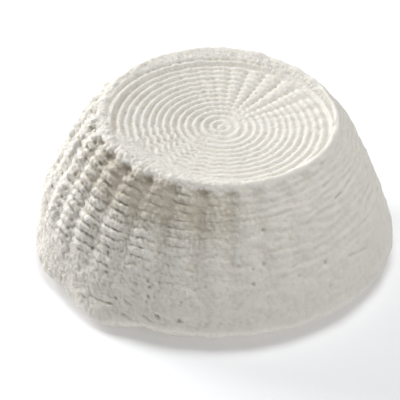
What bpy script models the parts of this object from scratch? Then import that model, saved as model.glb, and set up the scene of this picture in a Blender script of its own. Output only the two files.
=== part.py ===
"""A fresh ricotta turned out of its round draining basket, as one solid.

The nearly flat face on top was the bottom of the basket: rings crossed by spokes. A smooth rim band
runs round it. Below the rim the cheese widens down to a soft lower edge, and its side keeps the
basket's columns and woven rows, deep on the left, soft on the right, fading out towards the foot.
Lengths are in millimetres and angles in degrees, counted from +X towards +Y. +Z is up.
"""
import math

import bpy
import numpy as np

NAME = "ricotta"
MM = 0.001

# Basket pattern: spokes on the face carry on as columns down the side
COLUMNS = 30
GROOVE_AT = -84.3
COLUMN_STEPS = 4
SEGMENTS = COLUMNS * COLUMN_STEPS

# Where the grooves have slipped from even spacing: angle, half width, slip
SLIPS = (
    (-131.0, 23.0, -2.5),
    (-20.0, 20.0, 4.3),
)

# Face: radius of each ring, out from the small boss in the middle
RING_RADII = (4.3, 8.4, 12.3, 16.0, 19.4, 22.9, 26.3, 29.7, 32.9, 36.4, 40.0, 43.7, 47.1, 51.7)
RING_RISE = 0.36
LAST_RING_RISE = 0.62
BOSS_RISE = 0.3
SPOKE_DEPTH = 0.34
SPOKE_FULL_FROM = 20.0
SPOKES_DEEPEST_AT = 45.0
SPOKE_LEAST = 0.2
DISH = 1.8
FACE_X = 4.4
FACE_Y = -8.4
FACE_Z = 71.25

# Angle and number of the ring where the rings run out under the band in front
LAST_RINGS = (
    (190.0, 14.4),
    (200.0, 11.0),
    (215.0, 10.8),
    (240.0, 11.0),
    (270.0, 11.6),
    (305.0, 12.8),
    (325.0, 14.4),
)
BAND_RISE = 0.8
END_GROOVE = 0.3
END_GROOVE_AT = 60.0
SQUEEZE_FROM = 36.4
BAND_LEAST = 1.2

# Lean of the top: the right side and the front are lower
LEAN_RIGHT = 0.036
LEAN_BACK = 0.05
LEAN_FROM = 50.0
LEAN_FULL = 70.0

# Outer profile from the inside of the rim's crest to the foot:
# radius, height, centre x, centre y, and how far the section is longer in x than in y
PROFILE = (
    (53.4, 74.4, 4.2, -1.5, -0.2),
    (55.1, 74.6, 4.1, -1.3, -0.2),
    (57.1, 73.2, 3.1, -1.6, -0.1),
    (59.9, 70.5, 2.4, -0.8, -0.2),
    (63.2, 66.0, 2.1, -0.3, -0.2),
    (67.0, 60.0, 1.4, -0.1, -0.1),
    (70.9, 52.0, 0.9, 0.0, 0.0),
    (74.6, 45.0, 0.5, 0.0, 0.0),
    (78.0, 37.0, 0.4, 0.0, 0.2),
    (80.7, 30.0, 0.7, 0.0, 0.0),
    (82.9, 23.0, 1.0, 0.0, -0.2),
    (84.7, 16.0, 1.4, 0.0, -0.2),
    (85.7, 10.0, 1.5, -0.3, 0.2),
    (83.9, 5.0, 0.5, 0.4, 1.2),
    (80.2, 2.0, 0.5, 0.8, 1.0),
    (76.5, 0.0, 0.5, 0.6, 0.6),
)
RIM_EDGE_KNOT = 2

# Side relief, as depths out of the plain profile
ROW_PITCH = 4.3
ROWS = 12
ROW_RISE = 0.5
COLUMN_RISE = 0.8
RELIEF_SINK = 0.75
RELIEF_LEFT = 1.0
RELIEF_RIGHT = 0.36
DEEPEST_AT = 190.0
FADE_FROM = 34.0
FADE_TO = 55.0
ROW_JITTER = 0.13
ROW_SAG = 0.35

# Bulges and hollows of this one cheese: angle, half width, depth outwards, height, reach up and down
LOBES = (
    (-128.0, 10.0, 4.9, 0.0, 11.0),
    (-112.8, 4.4, -4.6, 0.0, 7.0),
    (-149.0, 11.0, -1.4, 0.0, 14.0),
    (-88.0, 20.0, -1.8, 0.0, 8.0),
    (-71.0, 5.0, -0.5, 0.0, 5.0),
    (-62.0, 5.0, 0.8, 0.0, 6.0),
    (-46.5, 4.5, 0.8, 2.0, 7.0),
    (-37.0, 6.0, -0.5, 0.0, 12.0),
    (-14.0, 9.0, 1.3, 2.0, 10.0),
    (2.0, 14.0, 0.7, 40.0, 9.0),
    (-159.0, 9.0, 1.2, 2.0, 10.0),
    (-172.0, 9.0, 0.7, 12.0, 7.0),
    (164.0, 14.0, 0.9, 36.0, 9.0),
    (170.0, 16.0, -0.9, 18.0, 8.0),
    (163.0, 10.0, -0.4, 66.0, 9.0),
    (138.0, 8.0, -0.4, 72.0, 8.0),
    (52.0, 18.0, -0.9, 74.0, 8.0),
    (32.0, 10.0, -0.5, 72.0, 8.0),
    (82.0, 10.0, 0.5, 74.0, 5.0),
)

# Soft unevenness of the whole side: waves round, waves down, size, turn
UNEVEN = (
    (3, 1.0, 0.20, 40.0),
    (5, 2.0, 0.18, 200.0),
    (7, 1.5, 0.14, 310.0),
    (11, 3.0, 0.10, 75.0),
)

FOOT_STEPS = (4.3, 9.0, 14.0, 18.5, 21.8)
BAND_STEPS = (0.34, 0.67)


def hermite(at, knots, values):
    """Smooth curve through the values, with the slopes of its neighbours."""
    knots = np.asarray(knots, float)
    values = np.asarray(values, float)
    slopes = np.gradient(values, knots)
    at = np.clip(np.asarray(at, float), knots[0], knots[-1])
    index = np.clip(np.searchsorted(knots, at, side="right") - 1, 0, len(knots) - 2)
    width = knots[index + 1] - knots[index]
    t = (at - knots[index]) / width
    return (
        (2 * t**3 - 3 * t**2 + 1) * values[index]
        + (t**3 - 2 * t**2 + t) * width * slopes[index]
        + (3 * t**2 - 2 * t**3) * values[index + 1]
        + (t**3 - t**2) * width * slopes[index + 1]
    )


def ease(value, low, high):
    """Smooth step from 0 at low to 1 at high."""
    t = np.clip((np.asarray(value, float) - low) / (high - low), 0.0, 1.0)
    return t * t * (3 - 2 * t)


KNOTS = np.asarray(PROFILE, float)
KNOT_RUN = np.concatenate([[0.0], np.cumsum(np.hypot(*np.diff(KNOTS[:, :2], axis=0).T))])
RIM_RUN = KNOT_RUN[RIM_EDGE_KNOT]
FOOT_RUN = KNOT_RUN[-1]
RINGS = (0.0,) + RING_RADII
LAST_RING = len(RING_RADII)


def bell(angle, centre, half_width):
    """1 at the centre angle, falling away on both sides."""
    away = (np.asarray(angle, float) - centre + 180.0) % 360.0 - 180.0
    return np.exp(-((away / half_width) ** 2))


def turned(pattern):
    """The real angle of a place in the evenly spaced pattern."""
    slips = sum(slip * bell(pattern, centre, half_width) for centre, half_width, slip in SLIPS)
    return np.asarray(pattern, float) + slips


def column_wave(pattern):
    """1 on a column's back, -1 in the narrower groove between two."""
    phase = math.radians(COLUMNS) * (np.asarray(pattern, float) - GROOVE_AT)
    groove = ((1 + np.cos(phase)) / 2) ** 1.6
    return 1 - 2 * groove


def column_number(pattern):
    return np.floor((np.asarray(pattern, float) - GROOVE_AT) * COLUMNS / 360.0) % COLUMNS


def strength(angle):
    """How deep the basket's print is at this angle: full on the left, faint on the right."""
    turn = (1 - np.cos(np.radians(np.asarray(angle, float) - DEEPEST_AT + 180.0))) / 2
    return RELIEF_RIGHT + (RELIEF_LEFT - RELIEF_RIGHT) * turn**1.5


def side_relief(pattern, run):
    """Height of the print above the plain side. run is the way down from the rim's edge."""
    wave = column_wave(pattern)
    jitter = ROW_JITTER * np.sin(column_number(pattern) * 2.4) * (1 + wave) / 2
    phase = 2 * math.pi * ((run + ROW_SAG * wave) / ROW_PITCH + jitter)
    rows = -np.cos(phase) * (0.62 + 0.38 * wave)
    start = ease(run, -0.6, 2.6)
    fade = 1 - ease(run, FADE_FROM, FADE_TO)
    print_height = COLUMN_RISE * wave + ROW_RISE * rows - RELIEF_SINK
    return strength(turned(pattern)) * start * fade * print_height


def uneven(angle, run):
    total = 0.0
    for around, down, size, turn in UNEVEN:
        swing = np.radians(around * np.asarray(angle, float) + turn)
        total = total + size * np.sin(swing + down * 2 * math.pi * run / FOOT_RUN)
    return total * ease(run, 2.0, 14.0) * (1 - ease(run, 60.0, 76.0))


def lobes(angle, height):
    total = 0.0
    for centre, half_width, depth, level, reach in LOBES:
        total = total + depth * bell(angle, centre, half_width) * np.exp(-((height - level) / reach) ** 2)
    return total


def leant(x, y, z, centre_x, centre_y):
    share = ease(z, LEAN_FROM, LEAN_FULL)
    return z + share * (LEAN_BACK * (y - centre_y) - LEAN_RIGHT * (x - centre_x))


def outer_point(pattern, run):
    """A point of the rim's crest, side or foot. run is counted along the profile."""
    radius, height, centre_x, centre_y, oval = (
        hermite(run, KNOT_RUN, KNOTS[:, column]) for column in range(5)
    )
    ahead, behind = run + 0.4, run - 0.4
    rise_r = hermite(ahead, KNOT_RUN, KNOTS[:, 0]) - hermite(behind, KNOT_RUN, KNOTS[:, 0])
    rise_z = hermite(ahead, KNOT_RUN, KNOTS[:, 1]) - hermite(behind, KNOT_RUN, KNOTS[:, 1])
    length = np.hypot(rise_r, rise_z)
    angle = turned(pattern)
    down = run - RIM_RUN
    relief = side_relief(pattern, down) + uneven(angle, down)
    relief = relief * (1 - ease(run, FOOT_RUN - 8.0, FOOT_RUN - 1.0))
    around = np.radians(angle)
    radius = radius + oval * np.cos(2 * around) + lobes(angle, height)
    radius = radius - relief * rise_z / length
    height = height + relief * rise_r / length
    x = centre_x + radius * np.cos(around)
    y = centre_y + radius * np.sin(around)
    return x, y, leant(x, y, height, centre_x, centre_y)


def ring_relief(number, last, angle):
    """Height of the rings. number is 1 on the first ring, 2 on the second; last is where they end."""
    end = np.minimum(last, LAST_RING) - 0.5
    groove = END_GROOVE * bell(angle, END_GROOVE_AT, 110.0) * np.exp(-(((number - end) / 0.3) ** 2))
    rise = RING_RISE + (LAST_RING_RISE - RING_RISE) * ease(number, LAST_RING - 1.0, LAST_RING - 0.4)
    band = ease(number, last - 0.45, last + 0.25)
    swell = BAND_RISE * ease(number, last - 0.3, last + 1.4)
    return rise * np.cos(2 * math.pi * number) * (1 - band) + swell - groove


def face_point(pattern, radius):
    """A point of the face with its rings and spokes, out to the last ring or the band."""
    rim_x, rim_y, _ = outer_point(pattern, 0.0)
    reach = np.hypot(rim_x - FACE_X, rim_y - FACE_Y)
    around = np.arctan2(rim_y - FACE_Y, rim_x - FACE_X)
    angle = np.degrees(around)
    room = (reach - BAND_LEAST - SQUEEZE_FROM) / (RING_RADII[-1] - SQUEEZE_FROM)
    squeezed = SQUEEZE_FROM + (radius - SQUEEZE_FROM) * np.minimum(room, 1.0)
    distance = np.where(radius > SQUEEZE_FROM, squeezed, radius)
    number = np.interp(distance, RINGS, np.arange(len(RINGS)))
    last = np.interp(angle % 360.0, *zip(*LAST_RINGS), period=360.0)
    inside = 1 - ease(number, np.minimum(last, LAST_RING) - 1.0, np.minimum(last, LAST_RING) - 0.2)
    depth = SPOKE_LEAST + (1 - SPOKE_LEAST) * bell(angle, SPOKES_DEEPEST_AT, 55.0)
    spokes = depth * column_wave(pattern) * ease(distance, 5.0, SPOKE_FULL_FROM) * inside
    middle = BOSS_RISE * np.exp(-((distance / 1.6) ** 2))
    z = FACE_Z + DISH * (distance / 50.0) ** 2 + ring_relief(number, last, angle)
    z = z + SPOKE_DEPTH * spokes + middle
    x = FACE_X + distance * np.cos(around)
    y = FACE_Y + distance * np.sin(around)
    return x, y, leant(x, y, z, FACE_X, FACE_Y)


def band_point(pattern, share):
    """A point of the band between the edge of the face, at share 0, and the crest, at share 1."""
    inner = face_point(pattern, RING_RADII[-1])
    outer = outer_point(pattern, 0.0)
    return [a + (b - a) * share for a, b in zip(inner, outer)]


def patterns(count):
    """Evenly spaced places in the pattern, one of them in the middle of a groove."""
    return GROOVE_AT + 360.0 / count * np.arange(count)


def rows_of_points():
    """Every row of the skin from the middle of the face out to the foot."""
    radii = []
    for inner, outer in zip(RINGS[:-1], RINGS[1:]):
        radii.append((inner + outer) / 2)
        radii.append(outer)
    rows = []
    for radius in radii:
        count = COLUMNS // 2 if radius < 7.0 else COLUMNS if radius < 17.0 else COLUMNS * 2
        count = SEGMENTS if radius == RINGS[-1] else count
        rows.append(face_point(patterns(count), radius))
    for share in BAND_STEPS:
        rows.append(band_point(patterns(SEGMENTS), share))
    runs = list(KNOT_RUN[: RIM_EDGE_KNOT + 1])
    runs += [RIM_RUN + ROW_PITCH / 2 * step for step in range(1, 2 * ROWS + 1)]
    runs += [RIM_RUN + ROW_PITCH * ROWS + step for step in FOOT_STEPS] + [FOOT_RUN]
    for run in runs:
        rows.append(outer_point(patterns(SEGMENTS), np.full(SEGMENTS, run)))
    return [np.stack(np.broadcast_arrays(*row), -1) for row in rows]


def strip(first, first_count, second, second_count):
    """Triangles between two rows; the second has as many points as the first or twice as many."""
    faces = []
    for i in range(first_count):
        a, b = first + i, first + (i + 1) % first_count
        if first_count == second_count:
            c, d = second + i, second + (i + 1) % second_count
            faces += [(a, c, d), (a, d, b)]
            continue
        c = second + 2 * i
        d = second + 2 * i + 1
        e = second + (2 * i + 2) % second_count
        faces += [(a, c, d), (a, d, b), (b, d, e)]
    return faces


def skin():
    """Points in millimetres and triangles of the whole closed surface."""
    rows = rows_of_points()
    top = np.array([face_point(0.0, 0.0)], float).reshape(1, 3)
    points = [top]
    starts = []
    total = 1
    for row in rows:
        starts.append(total)
        points.append(row)
        total += len(row)
    faces = [
        (0, starts[0] + i, starts[0] + (i + 1) % len(rows[0])) for i in range(len(rows[0]))
    ]
    for i in range(len(rows) - 1):
        faces += strip(starts[i], len(rows[i]), starts[i + 1], len(rows[i + 1]))
    foot = starts[-1]
    points[-1][:, 2] = 0.0
    faces += [(foot, foot + i + 1, foot + i) for i in range(1, SEGMENTS - 1)]
    return np.concatenate(points), faces


def curd_material():
    material = bpy.data.materials.new("ricotta_curd")
    material.use_nodes = True
    shader = material.node_tree.nodes["Principled BSDF"]
    shader.inputs["Base Color"].default_value = (0.86, 0.84, 0.78, 1.0)
    shader.inputs["Roughness"].default_value = 0.62
    return material


def main():
    for obj in list(bpy.data.objects):
        bpy.data.objects.remove(obj, do_unlink=True)
    points, faces = skin()
    mesh = bpy.data.meshes.new(NAME)
    mesh.from_pydata((points * MM).tolist(), [], faces)
    mesh.validate()
    mesh.shade_smooth()
    mesh.materials.append(curd_material())
    mesh.update()
    obj = bpy.data.objects.new(NAME, mesh)
    bpy.context.scene.collection.objects.link(obj)


main()
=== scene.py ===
"""The ricotta with its finished surface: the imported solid's form, cut far finer.

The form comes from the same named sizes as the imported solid, in millimetres and degrees. The fine
skin then gets what the solid's coarse triangles can't hold: narrow gaps between the beads of the
weave, wavy rings, curd lumps, small holes and short cracks.
"""
import math

import bpy
import numpy as np
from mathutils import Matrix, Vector, noise


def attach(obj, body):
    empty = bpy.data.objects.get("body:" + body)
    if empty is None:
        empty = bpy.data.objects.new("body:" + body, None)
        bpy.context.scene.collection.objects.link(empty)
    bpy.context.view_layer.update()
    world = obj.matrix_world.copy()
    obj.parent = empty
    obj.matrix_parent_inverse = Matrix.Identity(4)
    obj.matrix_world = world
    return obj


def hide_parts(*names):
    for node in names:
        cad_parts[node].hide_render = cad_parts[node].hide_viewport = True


MM = 0.001

# Parts of the skin
FACE, BAND, SIDE = range(3)

# Basket pattern: spokes on the face carry on as columns down the side
COLUMNS = 30
GROOVE_AT = -84.3
GROOVE_NARROWNESS = 1.6

# Where the grooves have slipped from even spacing: angle, half width, slip
SLIPS = (
    (-131.0, 23.0, -2.5),
    (-20.0, 20.0, 4.3),
)

# Face: radius of each ring, out from the small boss in the middle
RING_RADII = (4.3, 8.4, 12.3, 16.0, 19.4, 22.9, 26.3, 29.7, 32.9, 36.4, 40.0, 43.7, 47.1, 51.7)
RING_RISE = 0.36
LAST_RING_RISE = 0.62
BOSS_RISE = 0.3
BOSS_RADIUS = 1.6
DISH = 1.8
DISH_RADIUS = 50.0
FACE_X = 4.4
FACE_Y = -8.4
FACE_Z = 71.25

# Spokes of the face: depth, radii between which they start, least share, angle and half width
SPOKE_DEPTH = 0.34
SPOKE_FROM = 5.0
SPOKE_FULL_FROM = 20.0
SPOKE_LEAST = 0.2
SPOKES_DEEPEST = (45.0, 55.0)

# Angle and number of the ring where the rings run out under the band in front
LAST_RINGS = (
    (190.0, 14.4),
    (200.0, 11.0),
    (215.0, 10.8),
    (240.0, 11.0),
    (270.0, 11.6),
    (305.0, 12.8),
    (325.0, 14.4),
)
BAND_RISE = 0.8
END_GROOVE = 0.3
END_GROOVE_WIDTH = 0.3
END_GROOVE_AT = (60.0, 110.0)
SQUEEZE_FROM = 36.4
BAND_LEAST = 1.2

# Lean of the top: the right side and the front are lower
LEAN_RIGHT = 0.036
LEAN_BACK = 0.05
LEAN_FROM = 50.0
LEAN_FULL = 70.0

# Outer profile from the inside of the rim's crest to the foot:
# radius, height, centre x, centre y, and how far the section is longer in x than in y
PROFILE = (
    (53.4, 74.4, 4.2, -1.5, -0.2),
    (55.1, 74.6, 4.1, -1.3, -0.2),
    (57.1, 73.2, 3.1, -1.6, -0.1),
    (59.9, 70.5, 2.4, -0.8, -0.2),
    (63.2, 66.0, 2.1, -0.3, -0.2),
    (67.0, 60.0, 1.4, -0.1, -0.1),
    (70.9, 52.0, 0.9, 0.0, 0.0),
    (74.6, 45.0, 0.5, 0.0, 0.0),
    (78.0, 37.0, 0.4, 0.0, 0.2),
    (80.7, 30.0, 0.7, 0.0, 0.0),
    (82.9, 23.0, 1.0, 0.0, -0.2),
    (84.7, 16.0, 1.4, 0.0, -0.2),
    (85.7, 10.0, 1.5, -0.3, 0.2),
    (83.9, 5.0, 0.5, 0.4, 1.2),
    (80.2, 2.0, 0.5, 0.8, 1.0),
    (76.5, 0.0, 0.5, 0.6, 0.6),
)
RIM_EDGE_KNOT = 2
SLOPE_STEP = 0.4

# Side relief, as depths out of the plain profile and ways down from the rim's edge
ROW_PITCH = 4.3
ROW_RISE = 0.5
ROW_MEAN = 0.62
ROW_SWING = 0.38
COLUMN_RISE = 0.8
RELIEF_SINK = 0.75
RELIEF_LEFT = 1.0
RELIEF_RIGHT = 0.36
RELIEF_NARROWNESS = 1.5
DEEPEST_AT = 190.0
PRINT_START = (-0.6, 2.6)
FADE_FROM = 34.0
FADE_TO = 55.0
ROW_JITTER = 0.13
JITTER_STEP = 2.4
ROW_SAG = 0.35

# Ways before the end of the profile between which all relief dies out
FOOT_CLEAR = (8.0, 1.0)

# Bulges and hollows of this one cheese: angle, half width, depth outwards, height, reach up and down
LOBES = (
    (-128.0, 10.0, 4.9, 0.0, 11.0),
    (-112.8, 4.4, -4.6, 0.0, 7.0),
    (-149.0, 11.0, -1.4, 0.0, 14.0),
    (-88.0, 20.0, -1.8, 0.0, 8.0),
    (-71.0, 5.0, -0.5, 0.0, 5.0),
    (-62.0, 5.0, 0.8, 0.0, 6.0),
    (-46.5, 4.5, 0.8, 2.0, 7.0),
    (-37.0, 6.0, -0.5, 0.0, 12.0),
    (-14.0, 9.0, 1.3, 2.0, 10.0),
    (2.0, 14.0, 0.7, 40.0, 9.0),
    (-159.0, 9.0, 1.2, 2.0, 10.0),
    (-172.0, 9.0, 0.7, 12.0, 7.0),
    (164.0, 14.0, 0.9, 36.0, 9.0),
    (170.0, 16.0, -0.9, 18.0, 8.0),
    (163.0, 10.0, -0.4, 66.0, 9.0),
    (138.0, 8.0, -0.4, 72.0, 8.0),
    (52.0, 18.0, -0.9, 74.0, 8.0),
    (32.0, 10.0, -0.5, 72.0, 8.0),
    (82.0, 10.0, 0.5, 74.0, 5.0),
)

# Soft unevenness of the whole side: waves round, waves down, size, turn
UNEVEN = (
    (3, 1.0, 0.20, 40.0),
    (5, 2.0, 0.18, 200.0),
    (7, 1.5, 0.14, 310.0),
    (11, 3.0, 0.10, 75.0),
)
UNEVEN_START = (2.0, 14.0)
UNEVEN_END = (60.0, 76.0)

# Beads of the woven rows: how deep the narrow gaps cut into a column, the share of that which is
# added everywhere, how much one bead differs, and how fast all soften as the print grows fainter
GAP_DEPTH = 0.34
GAP_GRIP = 0.3
GAP_NARROWNESS = 3
BEAD_SPREAD = 0.28
GAP_SOFTENS = 2.4
BEADS_START = (0.0, 3.0)

# Where the print runs further down: angle, half width, ways between which it fades, share, rows too
LONGER = (
    (-172.0, 50.0, 46.0, 64.0, 0.9, True),
    (-86.0, 34.0, 44.0, 68.0, 0.42, False),
)

# Where the beads are split in two along their length: angle, half width, depth
SPLIT = (-158.0, 48.0, 0.22)

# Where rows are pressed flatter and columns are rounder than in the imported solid:
# angle, half width, how much flatter, how much rounder
FLATTER = (-92.0, 42.0, 0.75, 0.7)

# Notches where the grooves start under the rim: angle, half width, way down, reach, depth
NOTCHES = (
    (-170.0, 40.0, 2.6, 2.4, 0.8),
    (-125.0, 28.0, 3.6, 3.6, 0.95),
    (-90.0, 14.0, 2.4, 2.0, 0.35),
)

# Where the rings of the face run wavy: angle, half width, shift in rings
KINKS = (
    (218.0, 30.0, 0.2),
    (262.0, 26.0, 0.1),
    (106.0, 16.0, 0.15),
)
KINKS_START = (4.0, 7.0)
KINKS_END = (10.5, 12.0)

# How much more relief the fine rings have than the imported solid's: angle, share
RING_CRISPNESS = (
    (0.0, -0.3),
    (60.0, -0.2),
    (110.0, 0.1),
    (160.0, 0.3),
    (205.0, 0.35),
    (235.0, 0.1),
    (270.0, -0.3),
    (320.0, -0.2),
)

# Small beads along the rings: length of one, height, angle where they are strongest, half width
RING_BEADS = (2.1, 0.15, 165.0, 80.0)

# Narrow grooves of the spokes where they show best: angle, half width, depth
SPOKE_GROOVES = (54.0, 32.0, 0.5)
SPOKE_GROOVES_NARROWNESS = 4
SPOKE_GROOVES_START = (4.0, 7.0)
SPOKE_GROOVES_END = (12.8, 13.6)

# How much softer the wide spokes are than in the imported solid: angle, share
SOFTER_SPOKES = (
    (0.0, 0.8),
    (25.0, 0.65),
    (50.0, 0.35),
    (80.0, 0.35),
    (180.0, 0.2),
    (270.0, 0.3),
    (330.0, 0.6),
)
SOFTER_SPOKES_END = (12.0, 13.0)

# Groove of the band just outside the last ring: depth, way from the ring, half width
BAND_GROOVE = (0.9, 1.9, 0.95)
BAND_GROOVE_AT = (125.0, 75.0)
BAND_GROOVE_LEAST = 0.2

# Small holes: angle in the pattern, way down from the rim's edge, half width, depth
HOLES = (
    (-110.5, 48.3, 0.9, 1.30),
    (-110.0, 50.8, 0.8, 1.17),
    (-109.0, 49.3, 0.8, 1.04),
    (-107.0, 48.3, 0.9, 1.17),
    (-110.0, 55.3, 0.8, 0.91),
    (-110.5, 57.8, 0.8, 0.91),
    (-108.0, 55.3, 0.8, 0.78),
    (-100.0, 55.3, 0.8, 0.91),
    (-107.0, 63.8, 0.9, 1.04),
    (-100.5, 64.3, 0.9, 1.17),
    (-147.0, 46.3, 0.9, 1.17),
    (-146.0, 68.8, 1.2, 1.56),
    (-133.0, 43.8, 1.0, 1.30),
    (-125.5, 41.3, 1.0, 1.43),
    (-124.5, 50.3, 0.8, 1.04),
    (-124.5, 56.8, 0.8, 0.91),
    (-120.0, 60.8, 0.8, 0.91),
    (-76.5, 40.3, 1.0, 1.17),
    (-72.5, 39.3, 0.9, 1.04),
    (-77.0, 47.3, 1.0, 1.17),
    (-71.5, 23.3, 0.9, 0.91),
    (-61.0, 48.3, 0.8, 0.65),
    (-50.5, 47.3, 1.1, 1.04),
    (-51.0, 58.8, 0.8, 0.65),
)

# Short cracks: both ends as angle and way, half width, depth
CRACKS = (
    (-129.5, 65.3, -122.0, 64.3, 0.7, 0.55),
    (-111.0, 65.3, -108.5, 67.3, 0.7, 0.7),
    (-117.5, 67.3, -115.5, 68.8, 0.8, 0.8),
    (-96.5, 49.8, -92.0, 47.3, 0.8, 0.6),
    (-41.5, 50.3, -33.5, 53.8, 0.8, 0.5),
    (-38.5, 22.8, -35.5, 22.3, 0.8, 0.5),
)

# Radius that turns an angle on the side into a way round it
SIDE_RADIUS = 80.0

# Curd: size of the lumps, height on the face, on the band, on the faint side and on the deep side.
# Lumps are smooth, and crumbs have sharp furrows between them. The side goes from faint to deep
# with the basket's print, the faster the narrower
LUMPS = (
    (12.0, 0.10, 0.18, 0.50, 0.45),
    (5.2, 0.12, 0.22, 0.52, 0.42),
    (2.0, 0.16, 0.34, 0.06, 0.42),
)
CRUMBS = (
    (3.2, 0.10, 0.34, 0.14, 0.60),
    (1.7, 0.24, 0.34, 0.08, 0.66),
)
CURD_NARROWNESS = 1.3

# Width of band that carries full lumps, and the least share of them
BAND_ROOM = 8.0
BAND_ROOM_LEAST = 0.35

# How much smoother the lowest part of the deep side is, and ways between which it grows so
LOW_SMOOTHER = 0.25
LOW_FROM = (44.0, 60.0)

# Long low wrinkles of the faint side: length, width, height, and how much lower they are far down
WRINKLES = (10.0, 2.2, 0.55)
WRINKLES_LOWER = 0.7
WRINKLES_LOWER_FROM = (38.0, 56.0)

# Height above the foot at which all detail has its full size
DETAIL_FULL_FROM = 2.5

# Fine grid: points round the side, then sizes of the cells. Rows of the face start with few points
# and double them until they have as many as the side
SIDE_SEGMENTS = 576
SIDE_CELL = 0.74
FOOT_CELL = 1.15
FOOT_CELL_FROM = 72.0
BAND_CELLS = 10
BAND_CLOSER = 1.5
FACE_CELL = 0.62
FACE_CELL_WIDEST = 0.93
FIRST_ROW_POINTS = 9

# Curd colours: the curd's own colour, with crests painted lighter as light and hollows painted darker and
# warmer as shade
CURD_COLOUR = (0.84, 0.798, 0.728, 1.0)
CREST_LIGHT_COLOUR = (0.925, 0.897, 0.852, 1.0)
HOLLOW_SHADE_COLOUR = (0.60, 0.545, 0.445, 1.0)

# Height in millimetres between the deepest hollow and the highest crest, and rounds of blur
HOLLOW_RANGE = 0.5
HOLLOW_BLUR = 1

# Fine grain: strength on the faint side and on the deep side, then sizes in the material
GRAIN = (0.1, 0.7)
MOTTLE_SCALE = 190.0
GRAIN_SCALE = 1300.0
GRAIN_HEIGHT = 0.0012

# Painted shade under the rim: angle, half width, way down, reach, share
PAINTED_SHADE_UNDER_RIM = (
    (-127.0, 27.0, 8.0, 15.0, 0.72),
    (-93.0, 16.0, 14.0, 15.0, 0.35),
)
PAINTED_SHADE_UNDER_RIM_START = (-1.0, 2.0)

# Camera: the photograph looks down at 33.75 degrees from about 0.9 m
ELEVATION = math.radians(33.75)
DISTANCE = 0.9
AIM = Vector((0.0, 0.0, 0.038))
PICTURE = 400
AIM_PIXEL = (211.8, 176.2)
FOCAL_PIXELS = 1884.7
SENSOR = 36.0

# Lights: name, azimuth, height angle, size, power, colour
LIGHT_DISTANCE = 1.85
LIGHTS = (
    ("back left", 140.0, 20.0, 1.2, 38.0, (1.0, 1.0, 1.0)),
    ("front right", 312.0, 22.0, 0.7, 4.6, (1.0, 1.0, 1.0)),
    ("above", 25.0, 84.0, 1.2, 23.5, (0.97, 0.99, 1.0)),
)
SKY = 0.04

# Floor, in metres
FLOOR_HALF = 6.0
FLOOR_COLOUR = (0.82, 0.82, 0.83, 1.0)
FLOOR_GLOW = 0.21

WHITE = (1.0, 1.0, 1.0, 1.0)


def hermite(at, knots, values):
    """Smooth curve through the values, with the slopes of its neighbours."""
    knots = np.asarray(knots, float)
    values = np.asarray(values, float)
    slopes = np.gradient(values, knots)
    at = np.clip(np.asarray(at, float), knots[0], knots[-1])
    index = np.clip(np.searchsorted(knots, at, side="right") - 1, 0, len(knots) - 2)
    width = knots[index + 1] - knots[index]
    t = (at - knots[index]) / width
    return (
        (2 * t**3 - 3 * t**2 + 1) * values[index]
        + (t**3 - 2 * t**2 + t) * width * slopes[index]
        + (3 * t**2 - 2 * t**3) * values[index + 1]
        + (t**3 - t**2) * width * slopes[index + 1]
    )


def ease(value, low, high):
    """Smooth step from 0 at low to 1 at high."""
    t = np.clip((np.asarray(value, float) - low) / (high - low), 0.0, 1.0)
    return t * t * (3 - 2 * t)


def bell(angle, centre, half_width):
    """1 at the centre angle, falling away on both sides."""
    away = (np.asarray(angle, float) - centre + 180.0) % 360.0 - 180.0
    return np.exp(-((away / half_width) ** 2))


def by_angle(angle, table):
    """The value at this angle, from a table of angles and values that runs all round."""
    return np.interp(angle % 360.0, *zip(*table), period=360.0)


KNOTS = np.asarray(PROFILE, float)
KNOT_RUN = np.concatenate([[0.0], np.cumsum(np.hypot(*np.diff(KNOTS[:, :2], axis=0).T))])
RIM_RUN = KNOT_RUN[RIM_EDGE_KNOT]
FOOT_RUN = KNOT_RUN[-1]
RINGS = np.array((0.0,) + RING_RADII)
LAST_RING = len(RING_RADII)


def turned(pattern):
    """The real angle of a place in the evenly spaced pattern."""
    slips = sum(slip * bell(pattern, centre, half_width) for centre, half_width, slip in SLIPS)
    return np.asarray(pattern, float) + slips


def column_wave(pattern):
    """1 on a column's back, -1 in the narrower groove between two."""
    phase = math.radians(COLUMNS) * (np.asarray(pattern, float) - GROOVE_AT)
    groove = ((1 + np.cos(phase)) / 2) ** GROOVE_NARROWNESS
    return 1 - 2 * groove


def column_number(pattern):
    """Which column a place lies on, counted round from the first groove."""
    return np.floor((np.asarray(pattern, float) - GROOVE_AT) * COLUMNS / 360.0) % COLUMNS


def strength(angle):
    """How deep the basket's print is at this angle: full on the left, faint on the right."""
    turn = (1 - np.cos(np.radians(np.asarray(angle, float) - DEEPEST_AT + 180.0))) / 2
    return RELIEF_RIGHT + (RELIEF_LEFT - RELIEF_RIGHT) * turn**RELIEF_NARROWNESS


def deepness(pattern):
    """0 where the basket's print is faintest, 1 where it is deepest."""
    return (strength(turned(pattern)) - RELIEF_RIGHT) / (RELIEF_LEFT - RELIEF_RIGHT)


def row_turns(pattern, run):
    """How many woven rows lie above a place: they sag on each column and differ between columns."""
    wave = column_wave(pattern)
    jitter = ROW_JITTER * np.sin(column_number(pattern) * JITTER_STEP) * (1 + wave) / 2
    return (run + ROW_SAG * wave) / ROW_PITCH + jitter


def woven_rows(pattern, run):
    """1 on the back of a row, -1 between two, and lower in the grooves between the columns."""
    turns = row_turns(pattern, run)
    return -np.cos(2 * math.pi * turns) * (ROW_MEAN + ROW_SWING * column_wave(pattern))


def side_relief(pattern, run):
    """Height of the print above the plain side. run is the way down from the rim's edge."""
    start = ease(run, *PRINT_START)
    fade = 1 - ease(run, FADE_FROM, FADE_TO)
    columns = COLUMN_RISE * column_wave(pattern)
    print_height = columns + ROW_RISE * woven_rows(pattern, run) - RELIEF_SINK
    return strength(turned(pattern)) * start * fade * print_height


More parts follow.
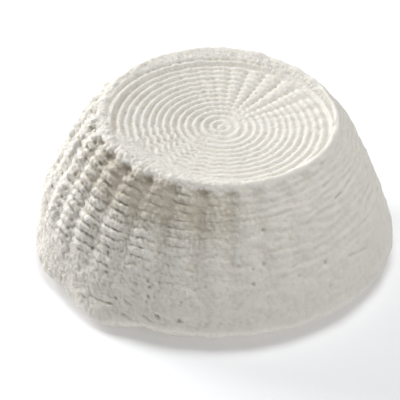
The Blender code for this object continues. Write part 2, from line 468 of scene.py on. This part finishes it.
def uneven(angle, run):
    """Soft waves of the whole side."""
    total = 0.0
    for around, down, size, turn in UNEVEN:
        swing = np.radians(around * np.asarray(angle, float) + turn)
        total = total + size * np.sin(swing + down * 2 * math.pi * run / FOOT_RUN)
    return total * ease(run, *UNEVEN_START) * (1 - ease(run, *UNEVEN_END))


def lobes(angle, height):
    """Bulges and hollows of this one cheese."""
    total = 0.0
    for centre, half_width, depth, level, reach in LOBES:
        total = total + depth * bell(angle, centre, half_width) * np.exp(-((height - level) / reach) ** 2)
    return total


def leant(x, y, z, centre_x, centre_y):
    """The height of a point once the top leans."""
    share = ease(z, LEAN_FROM, LEAN_FULL)
    return z + share * (LEAN_BACK * (y - centre_y) - LEAN_RIGHT * (x - centre_x))


def outer_point(pattern, run):
    """A point of the rim's crest, side or foot. run is counted along the profile."""
    radius, height, centre_x, centre_y, oval = (
        hermite(run, KNOT_RUN, KNOTS[:, column]) for column in range(5)
    )
    ahead, behind = run + SLOPE_STEP, run - SLOPE_STEP
    rise_r = hermite(ahead, KNOT_RUN, KNOTS[:, 0]) - hermite(behind, KNOT_RUN, KNOTS[:, 0])
    rise_z = hermite(ahead, KNOT_RUN, KNOTS[:, 1]) - hermite(behind, KNOT_RUN, KNOTS[:, 1])
    length = np.hypot(rise_r, rise_z)
    angle = turned(pattern)
    down = run - RIM_RUN
    relief = side_relief(pattern, down) + uneven(angle, down)
    clear_from, clear_to = FOOT_CLEAR
    relief = relief * (1 - ease(run, FOOT_RUN - clear_from, FOOT_RUN - clear_to))
    around = np.radians(angle)
    radius = radius + oval * np.cos(2 * around) + lobes(angle, height)
    radius = radius - relief * rise_z / length
    height = height + relief * rise_r / length
    x = centre_x + radius * np.cos(around)
    y = centre_y + radius * np.sin(around)
    return x, y, leant(x, y, height, centre_x, centre_y)


def ring_number(distance):
    """1 on the first ring, 2 on the second, and shares of rings between."""
    return np.interp(distance, RINGS, np.arange(len(RINGS)))


def ring_relief(number, last, angle):
    """Height of the rings. last is the number where they end; all widths here are in rings."""
    end = np.minimum(last, LAST_RING) - 0.5
    groove = END_GROOVE * bell(angle, *END_GROOVE_AT) * np.exp(-(((number - end) / END_GROOVE_WIDTH) ** 2))
    rise = RING_RISE + (LAST_RING_RISE - RING_RISE) * ease(number, LAST_RING - 1.0, LAST_RING - 0.4)
    band = ease(number, last - 0.45, last + 0.25)
    swell = BAND_RISE * ease(number, last - 0.3, last + 1.4)
    return rise * np.cos(2 * math.pi * number) * (1 - band) + swell - groove


def wide_spokes(pattern, angle, distance):
    """Height of the wide soft spokes, before they end at the last ring."""
    depth = SPOKE_LEAST + (1 - SPOKE_LEAST) * bell(angle, *SPOKES_DEEPEST)
    return SPOKE_DEPTH * depth * column_wave(pattern) * ease(distance, SPOKE_FROM, SPOKE_FULL_FROM)


def face_point(pattern, radius):
    """A point of the face with its rings and spokes, out to the last ring or the band."""
    rim_x, rim_y, _ = outer_point(pattern, 0.0)
    reach = np.hypot(rim_x - FACE_X, rim_y - FACE_Y)
    around = np.arctan2(rim_y - FACE_Y, rim_x - FACE_X)
    angle = np.degrees(around)
    room = (reach - BAND_LEAST - SQUEEZE_FROM) / (RING_RADII[-1] - SQUEEZE_FROM)
    squeezed = SQUEEZE_FROM + (radius - SQUEEZE_FROM) * np.minimum(room, 1.0)
    distance = np.where(radius > SQUEEZE_FROM, squeezed, radius)
    number = ring_number(distance)
    last = by_angle(angle, LAST_RINGS)
    inside = 1 - ease(number, np.minimum(last, LAST_RING) - 1.0, np.minimum(last, LAST_RING) - 0.2)
    z = FACE_Z + DISH * (distance / DISH_RADIUS) ** 2 + ring_relief(number, last, angle)
    z = z + wide_spokes(pattern, angle, distance) * inside
    z = z + BOSS_RISE * np.exp(-((distance / BOSS_RADIUS) ** 2))
    x = FACE_X + distance * np.cos(around)
    y = FACE_Y + distance * np.sin(around)
    return x, y, leant(x, y, z, FACE_X, FACE_Y)


def band_point(pattern, share):
    """A point of the band between the edge of the face, at share 0, and the crest, at share 1."""
    inner = face_point(pattern, RING_RADII[-1])
    outer = outer_point(pattern, 0.0)
    return [a + (b - a) * share for a, b in zip(inner, outer)]


def spread(first, second):
    """A fixed, uneven number between -1 and 1 for each pair of whole numbers."""
    mixed = np.sin(first * 12.9898 + second * 78.233) * 43758.5453
    return 2 * (mixed - np.floor(mixed)) - 1


def fine_fade(run, fade_from=FADE_FROM, fade_to=FADE_TO):
    """Share of the fine print at this way down, 0 at the rim's edge and again far down."""
    return ease(run, *BEADS_START) * (1 - ease(run, fade_from, fade_to))


def beads(pattern, run):
    """Narrow gaps between the beads of the weave, and beads of uneven size."""
    turns = row_turns(pattern, run)
    gap = ((1 + np.cos(2 * math.pi * turns)) / 2) ** GAP_NARROWNESS
    back = (1 + column_wave(pattern)) / 2
    size = BEAD_SPREAD * spread(column_number(pattern), np.floor(turns)) * (1 - gap) * back
    depth = GAP_DEPTH * gap * (GAP_GRIP + back)
    return fine_fade(run) * strength(turned(pattern)) ** GAP_SOFTENS * (size - depth)


def split_beads(pattern, run):
    """A furrow along the beads where they are split in two."""
    centre, half_width, depth = SPLIT
    back = (1 + column_wave(pattern)) / 2
    furrow = np.cos(4 * math.pi * row_turns(pattern, run))
    return -depth * fine_fade(run) * bell(turned(pattern), centre, half_width) * furrow * back


def flatter_rows(pattern, run):
    """The change where rows are pressed flatter and columns are rounder."""
    centre, half_width, flatter, rounder = FLATTER
    angle = turned(pattern)
    change = rounder * column_wave(pattern) - flatter * ROW_RISE * woven_rows(pattern, run)
    return fine_fade(run) * bell(angle, centre, half_width) * strength(angle) * change


def longer_print(pattern, run):
    """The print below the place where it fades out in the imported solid."""
    total = 0.0
    for centre, half_width, fade_from, fade_to, share, rows_too in LONGER:
        added = fine_fade(run, fade_from, fade_to) - fine_fade(run)
        height = COLUMN_RISE * column_wave(pattern)
        if rows_too:
            height = height + ROW_RISE * woven_rows(pattern, run)
        total = total + added * share * bell(turned(pattern), centre, half_width) * height
    return total


def notches(pattern, run):
    """Short deep starts of the grooves under the rim."""
    groove = (1 - column_wave(pattern)) / 2
    angle = turned(pattern)
    total = 0.0
    for centre, half_width, way, reach, depth in NOTCHES:
        total = total - depth * bell(angle, centre, half_width) * np.exp(-(((run - way) / reach) ** 2))
    return total * groove


def marks(pattern, run):
    """Small holes and short cracks of the side."""
    u = np.radians((pattern + 180.0) % 360.0 - 180.0) * SIDE_RADIUS
    total = 0.0
    for angle, way, half_width, depth in HOLES:
        away = np.hypot(u - math.radians(angle) * SIDE_RADIUS, run - way)
        total = total - depth * np.exp(-((away / half_width) ** 2))
    for angle, way, end_angle, end_way, half_width, depth in CRACKS:
        start_u = math.radians(angle) * SIDE_RADIUS
        step_u = math.radians(end_angle - angle) * SIDE_RADIUS
        step_v = end_way - way
        share = ((u - start_u) * step_u + (run - way) * step_v) / (step_u**2 + step_v**2)
        share = np.clip(share, 0.0, 1.0)
        away = np.hypot(u - start_u - share * step_u, run - way - share * step_v)
        total = total - depth * np.exp(-((away / half_width) ** 2))
    return total


def noise_at(places, size=1.0):
    """Smooth noise at every place, with waves of this size."""
    return np.array([noise.noise(Vector(place) / size) for place in places])


def wrinkles(pattern, run):
    """Long low wrinkles that run round the side."""
    length, width, height = WRINKLES
    turn = np.radians(pattern)
    around = SIDE_RADIUS / length
    places = np.stack((np.cos(turn) * around, np.sin(turn) * around, run / width), -1)
    return height * (1 - WRINKLES_LOWER * ease(run, *WRINKLES_LOWER_FROM)) * noise_at(places)


def side_detail(pattern, run):
    """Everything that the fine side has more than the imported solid's, apart from curd."""
    total = beads(pattern, run) + split_beads(pattern, run) + flatter_rows(pattern, run)
    total += longer_print(pattern, run) + notches(pattern, run) + marks(pattern, run)
    return total + (1 - deepness(pattern)) * wrinkles(pattern, run)


def face_place(pattern, radius):
    """Distance from the ring centre, angle round it and ring number of a point of the face."""
    x, y, _ = face_point(pattern, radius)
    distance = np.hypot(x - FACE_X, y - FACE_Y)
    return distance, np.degrees(np.arctan2(y - FACE_Y, x - FACE_X)), ring_number(distance)


def ring_beads(number, angle):
    """Small beads along the crests of the rings."""
    length, height, centre, half_width = RING_BEADS
    ring = np.clip(np.round(number), 1, LAST_RING).astype(int)
    count = np.round(2 * math.pi * RINGS[ring] / length)
    beads_there = np.cos(count * np.radians(angle) + math.pi * ring)
    return height * bell(angle, centre, half_width) * beads_there * (1 + np.cos(2 * math.pi * number)) / 2


def wavy_rings(pattern, number, angle):
    """The rings' own height, wavy and crisper or softer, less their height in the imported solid."""
    last = by_angle(angle, LAST_RINGS)
    shift = sum(size * bell(angle, centre, half_width) for centre, half_width, size in KINKS)
    reach = ease(number, *KINKS_START) * (1 - ease(number, *KINKS_END))
    moved = number + shift * column_wave(pattern) * reach
    crisp = 1 + by_angle(angle, RING_CRISPNESS)
    return crisp * ring_relief(moved, last, angle) - ring_relief(number, last, angle)


def narrow_spokes(pattern, distance, number, angle):
    """Narrow grooves for the spokes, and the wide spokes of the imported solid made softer."""
    centre, half_width, depth = SPOKE_GROOVES
    groove = ((1 - column_wave(pattern)) / 2) ** SPOKE_GROOVES_NARROWNESS * bell(angle, centre, half_width)
    groove = groove * ease(number, *SPOKE_GROOVES_START) * (1 - ease(number, *SPOKE_GROOVES_END))
    softer = by_angle(angle, SOFTER_SPOKES) * (1 - ease(number, *SOFTER_SPOKES_END))
    return -depth * groove - softer * wide_spokes(pattern, angle, distance)


def face_detail(pattern, radius):
    """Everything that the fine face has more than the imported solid's, apart from curd."""
    distance, angle, number = face_place(pattern, radius)
    rings = wavy_rings(pattern, number, angle) + ring_beads(number, angle)
    return rings + narrow_spokes(pattern, distance, number, angle)


def band_width(pattern):
    """Width of the band from the edge of the face to the rim's crest."""
    inner = face_point(pattern, RING_RADII[-1])
    outer = outer_point(pattern, 0.0)
    return np.hypot(outer[0] - inner[0], outer[1] - inner[1])


def band_groove(pattern, share):
    """The groove outside the last ring, where the face reaches out to it."""
    depth, way, half_width = BAND_GROOVE
    _, angle, _ = face_place(pattern, RING_RADII[-1])
    shown = np.clip(by_angle(angle, LAST_RINGS) - LAST_RING + 1, 0.0, 1.0)
    depth = depth * shown * (BAND_GROOVE_LEAST + (1 - BAND_GROOVE_LEAST) * bell(angle, *BAND_GROOVE_AT))
    return -depth * np.exp(-(((share * band_width(pattern) - way) / half_width) ** 2))


def curd(points, pattern, way, part):
    """Lumps and crumbs of the curd, in heights that suit each part of the skin."""
    smoother = LOW_SMOOTHER * (part == SIDE) * ease(way, *LOW_FROM)
    deep = deepness(pattern) ** CURD_NARROWNESS * (1 - smoother)
    total = np.zeros(len(points))
    for size, face, band, faint, full in LUMPS:
        height = np.choose(part, (face, band, faint + (full - faint) * deep))
        total += height * noise_at(points, size)
    for size, face, band, faint, full in CRUMBS:
        height = np.choose(part, (face, band, faint + (full - faint) * deep))
        total += height * (np.abs(noise_at(points, size)) * 2.0 - 0.5)
    room = np.clip(band_width(pattern[part == BAND]) / BAND_ROOM, BAND_ROOM_LEAST, 1.0)
    total[part == BAND] *= room
    return total


def detail(points, places):
    """How far every point of the plain fine skin moves outwards."""
    pattern, way, part = places.T
    part = part.astype(int)
    moves = curd(points, pattern, way, part)
    for kind, added in ((FACE, face_detail), (BAND, band_groove), (SIDE, side_detail)):
        chosen = part == kind
        moves[chosen] += added(pattern[chosen], way[chosen])
    return moves * ease(points[:, 2], 0.0, DETAIL_FULL_FROM)


def patterns(count):
    """Evenly spaced places in the pattern, one of them in the middle of a groove."""
    return GROOVE_AT + 360.0 / count * np.arange(count)


def face_count(radius):
    """How many points a row of the face takes: doubled each time its cells would grow too wide."""
    count = FIRST_ROW_POINTS
    while count < SIDE_SEGMENTS and 2 * math.pi * radius / count > FACE_CELL_WIDEST:
        count *= 2
    return count


def rows_of_points():
    """Every row of the skin from the middle of the face to the foot: points, pattern, way, part."""
    rows = []
    outer = RING_RADII[-1]
    steps = round(outer / FACE_CELL)
    for radius in outer * np.arange(1, steps + 1) / steps:
        around = patterns(SIDE_SEGMENTS if radius == outer else face_count(radius))
        rows.append((face_point(around, radius), around, radius, FACE))
    around = patterns(SIDE_SEGMENTS)
    for share in (np.arange(1, BAND_CELLS) / BAND_CELLS) ** BAND_CLOSER:
        rows.append((band_point(around, share), around, share, BAND))
    steps = round(FOOT_CELL_FROM / SIDE_CELL)
    runs = list(FOOT_CELL_FROM * np.arange(steps) / steps)
    steps = round((FOOT_RUN - FOOT_CELL_FROM) / FOOT_CELL)
    runs += list(FOOT_CELL_FROM + (FOOT_RUN - FOOT_CELL_FROM) * np.arange(steps + 1) / steps)
    for run in runs:
        rows.append((outer_point(around, np.full(SIDE_SEGMENTS, run)), around, run - RIM_RUN, SIDE))
    return rows


def strip(first, first_count, second, second_count):
    """Faces between two rows; the second has as many points as the first or twice as many."""
    faces = []
    for i in range(first_count):
        a, b = first + i, first + (i + 1) % first_count
        if first_count == second_count:
            c, d = second + i, second + (i + 1) % second_count
            faces.append((a, c, d, b))
            continue
        c = second + 2 * i
        d = second + 2 * i + 1
        e = second + (2 * i + 2) % second_count
        faces += [(a, c, d), (a, d, b), (b, d, e)]
    return faces


def skin():
    """Points in millimetres, faces, and the pattern, way and part of every point."""
    rows = rows_of_points()
    points = [np.array([face_point(0.0, 0.0)], float).reshape(1, 3)]
    places = [np.zeros((1, 3))]
    starts = []
    total = 1
    for row, around, way, part in rows:
        starts.append(total)
        points.append(np.stack(np.broadcast_arrays(*row), -1))
        places.append(np.stack(np.broadcast_arrays(around, way, part), -1))
        total += len(around)
    counts = [len(row[1]) for row in rows]
    faces = [(0, 1 + i, 1 + (i + 1) % counts[0]) for i in range(counts[0])]
    for i in range(len(rows) - 1):
        faces += strip(starts[i], counts[i], starts[i + 1], counts[i + 1])
    foot = starts[-1]
    points[-1][:, 2] = 0.0
    faces.append(tuple(foot + i for i in reversed(range(SIDE_SEGMENTS))))
    return np.concatenate(points), faces, np.concatenate(places)


def hollows(mesh, points, normals):
    """0 in a hollow narrower than a bead, 0.5 on flat curd, 1 on a crest, for every point: the mask for
    the painted shade in hollows and the painted light on crests.
    """
    ends = np.empty(len(mesh.edges) * 2, int)
    mesh.edges.foreach_get("vertices", ends)
    first, second = ends.reshape(-1, 2).T
    neighbours = np.bincount(ends, minlength=len(points))
    height = np.zeros(len(points))
    for one, other in ((first, second), (second, first)):
        rise = ((points[one] - points[other]) * normals[one]).sum(1)
        height += np.bincount(one, rise, len(points))
    height /= neighbours
    for _ in range(HOLLOW_BLUR):
        around = np.bincount(first, height[second], len(points))
        around += np.bincount(second, height[first], len(points))
        height = (height + around / neighbours) / 2
    return np.clip(0.5 + height / HOLLOW_RANGE, 0.0, 1.0)


def grain(places):
    """How strong the fine grain is at every point, 0 to 1."""
    pattern, _, part = places.T
    least, most = GRAIN
    return least + (most - least) * np.where(part == BAND, 1.0, deepness(pattern))


def painted_shade_under_rim(places):
    """How much painted shade darkens the curd under the rim, 0 to 1."""
    pattern, way, part = places.T
    total = np.zeros(len(places))
    for angle, half_width, down, reach, share in PAINTED_SHADE_UNDER_RIM:
        total += share * bell(turned(pattern), angle, half_width) * np.exp(-(((way - down) / reach) ** 2))
    return total * (part == SIDE) * ease(way, *PAINTED_SHADE_UNDER_RIM_START)


def add_node(material, kind, values=None):
    """A new node of the material, with these values on its inputs."""
    node = material.node_tree.nodes.new(kind)
    for name, value in (values or {}).items():
        node.inputs[name].default_value = value
    return node


def add_attribute_node(material, name):
    """A node that reads a number kept at every point of the mesh."""
    node = material.node_tree.nodes.new("ShaderNodeAttribute")
    node.attribute_name = name
    return node


def curd_colour(material, place, grains):
    """Colour from the height of the curd, with painted shade in hollows and under the rim and painted
    light on crests, mottled where it is grainy.
    """
    links = material.node_tree.links
    crest = add_attribute_node(material, "crest")
    noise_values = {"Scale": MOTTLE_SCALE, "Detail": 4.0, "Roughness": 0.65}
    mottle = add_node(material, "ShaderNodeTexNoise", noise_values)
    middle = add_node(material, "ShaderNodeMath", {1: 0.5})
    middle.operation = "SUBTRACT"
    shift = add_node(material, "ShaderNodeMath")
    shift.operation = "MULTIPLY_ADD"
    # Painted shade in hollows, the curd's own colour on flat curd, painted light on crests
    ramp = add_node(material, "ShaderNodeValToRGB")
    ramp.color_ramp.elements[0].color = HOLLOW_SHADE_COLOUR
    ramp.color_ramp.elements[1].color = CREST_LIGHT_COLOUR
    ramp.color_ramp.elements.new(0.5).color = CURD_COLOUR
    links.new(place.outputs["Object"], mottle.inputs["Vector"])
    links.new(mottle.outputs["Fac"], middle.inputs[0])
    links.new(middle.outputs["Value"], shift.inputs[0])
    links.new(grains.outputs["Fac"], shift.inputs[1])
    links.new(crest.outputs["Fac"], shift.inputs[2])
    links.new(shift.outputs["Value"], ramp.inputs["Fac"])
    return ramp.outputs["Color"]


def curd_bump(material, place, grains):
    """Fine bump, stronger where the curd is grainy."""
    links = material.node_tree.links
    fine = add_node(material, "ShaderNodeTexNoise", {"Scale": GRAIN_SCALE, "Detail": 3.0})
    bump = add_node(material, "ShaderNodeBump", {"Distance": GRAIN_HEIGHT})
    links.new(place.outputs["Object"], fine.inputs["Vector"])
    links.new(fine.outputs["Fac"], bump.inputs["Height"])
    links.new(grains.outputs["Fac"], bump.inputs["Strength"])
    return bump.outputs["Normal"]


def curd_material():
    """Moist white curd with a soft sheen, which lets a little light through."""
    material = bpy.data.materials.new("ricotta_curd")
    material.use_nodes = True
    shader = material.node_tree.nodes["Principled BSDF"]
    shader.inputs["Roughness"].default_value = 0.6
    shader.inputs["Specular IOR Level"].default_value = 0.3
    shader.inputs["Subsurface Weight"].default_value = 0.15
    shader.inputs["Subsurface Radius"].default_value = (1.0, 0.8, 0.55)
    shader.inputs["Subsurface Scale"].default_value = MM
    place = add_node(material, "ShaderNodeTexCoord")
    grains = add_attribute_node(material, "grain")
    links = material.node_tree.links
    links.new(curd_colour(material, place, grains), shader.inputs["Base Color"])
    links.new(curd_bump(material, place, grains), shader.inputs["Normal"])
    return material


def keep_number(mesh, name, values):
    """Keeps a number at every point of the mesh for the material."""
    mesh.attributes.new(name, "FLOAT", "POINT").data.foreach_set("value", values)


def make_cheese():
    """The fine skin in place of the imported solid."""
    points, faces, places = skin()
    mesh = bpy.data.meshes.new("ricotta_skin")
    mesh.from_pydata((points * MM).tolist(), [], faces)
    mesh.update()
    normals = np.empty(len(points) * 3)
    mesh.vertex_normals.foreach_get("vector", normals)
    normals = normals.reshape(-1, 3)
    points = points + detail(points, places)[:, None] * normals
    mesh.vertices.foreach_set("co", (points * MM).ravel())
    # crest carries the painted shade in hollows and under the rim and the painted light on crests
    keep_number(mesh, "crest", hollows(mesh, points, normals) - painted_shade_under_rim(places))
    keep_number(mesh, "grain", grain(places))
    mesh.shade_smooth()
    mesh.materials.append(curd_material())
    mesh.update()
    cheese = bpy.data.objects.new("ricotta_skin", mesh)
    bpy.context.scene.collection.objects.link(cheese)
    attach(cheese, "root")
    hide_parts("ricotta")


def make_camera():
    """A camera at the photograph's angle, with the cheese where the photograph has it."""
    data = bpy.data.cameras.new("camera")
    data.sensor_width = SENSOR
    data.lens = FOCAL_PIXELS * SENSOR / PICTURE
    data.shift_x = (PICTURE / 2 - AIM_PIXEL[0]) / PICTURE
    data.shift_y = (AIM_PIXEL[1] - PICTURE / 2) / PICTURE
    camera = bpy.data.objects.new("camera", data)
    back = Vector((0.0, -math.cos(ELEVATION), math.sin(ELEVATION)))
    camera.location = AIM + DISTANCE * back
    camera.rotation_euler = (math.pi / 2 - ELEVATION, 0.0, 0.0)
    bpy.context.scene.collection.objects.link(camera)
    bpy.context.scene.camera = camera


def make_light(name, azimuth, height_angle, size, power, colour):
    """A round soft light that shines on the cheese."""
    data = bpy.data.lights.new(name, "AREA")
    data.shape = "DISK"
    data.size = size
    data.energy = power
    data.color = colour
    light = bpy.data.objects.new(name, data)
    turn, rise = math.radians(azimuth), math.radians(height_angle)
    way = Vector((math.cos(turn) * math.cos(rise), math.sin(turn) * math.cos(rise), math.sin(rise)))
    light.location = AIM + LIGHT_DISTANCE * way
    light.rotation_euler = way.to_track_quat("Z", "Y").to_euler()
    light.visible_camera = False
    bpy.context.scene.collection.objects.link(light)


def make_floor():
    """Plain pale paper under the cheese, a little brighter than the lights alone make it."""
    mesh = bpy.data.meshes.new("floor")
    corners = [
        (-FLOOR_HALF, -FLOOR_HALF, 0.0),
        (FLOOR_HALF, -FLOOR_HALF, 0.0),
        (FLOOR_HALF, FLOOR_HALF, 0.0),
        (-FLOOR_HALF, FLOOR_HALF, 0.0),
    ]
    mesh.from_pydata(corners, [], [(0, 1, 2, 3)])
    material = bpy.data.materials.new("floor_paper")
    material.use_nodes = True
    shader = material.node_tree.nodes["Principled BSDF"]
    shader.inputs["Base Color"].default_value = FLOOR_COLOUR
    shader.inputs["Roughness"].default_value = 0.9
    shader.inputs["Specular IOR Level"].default_value = 0.1
    shader.inputs["Emission Color"].default_value = WHITE
    shader.inputs["Emission Strength"].default_value = FLOOR_GLOW
    mesh.materials.append(material)
    floor = bpy.data.objects.new("floor", mesh)
    bpy.context.scene.collection.objects.link(floor)


def make_world():
    """A faint even light from all round."""
    world = bpy.data.worlds.new("studio")
    world.use_nodes = True
    background = world.node_tree.nodes["Background"]
    background.inputs["Color"].default_value = WHITE
    background.inputs["Strength"].default_value = SKY
    bpy.context.scene.world = world
    bpy.context.scene.view_settings.view_transform = "Standard"


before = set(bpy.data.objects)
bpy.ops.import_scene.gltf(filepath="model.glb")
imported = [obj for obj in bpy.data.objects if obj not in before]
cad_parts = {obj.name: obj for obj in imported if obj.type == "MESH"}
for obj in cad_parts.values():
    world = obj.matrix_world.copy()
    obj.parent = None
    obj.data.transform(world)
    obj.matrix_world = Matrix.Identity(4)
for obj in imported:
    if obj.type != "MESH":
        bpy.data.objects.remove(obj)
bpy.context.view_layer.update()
make_camera()
make_floor()
make_world()
for light in LIGHTS:
    make_light(*light)
make_cheese()
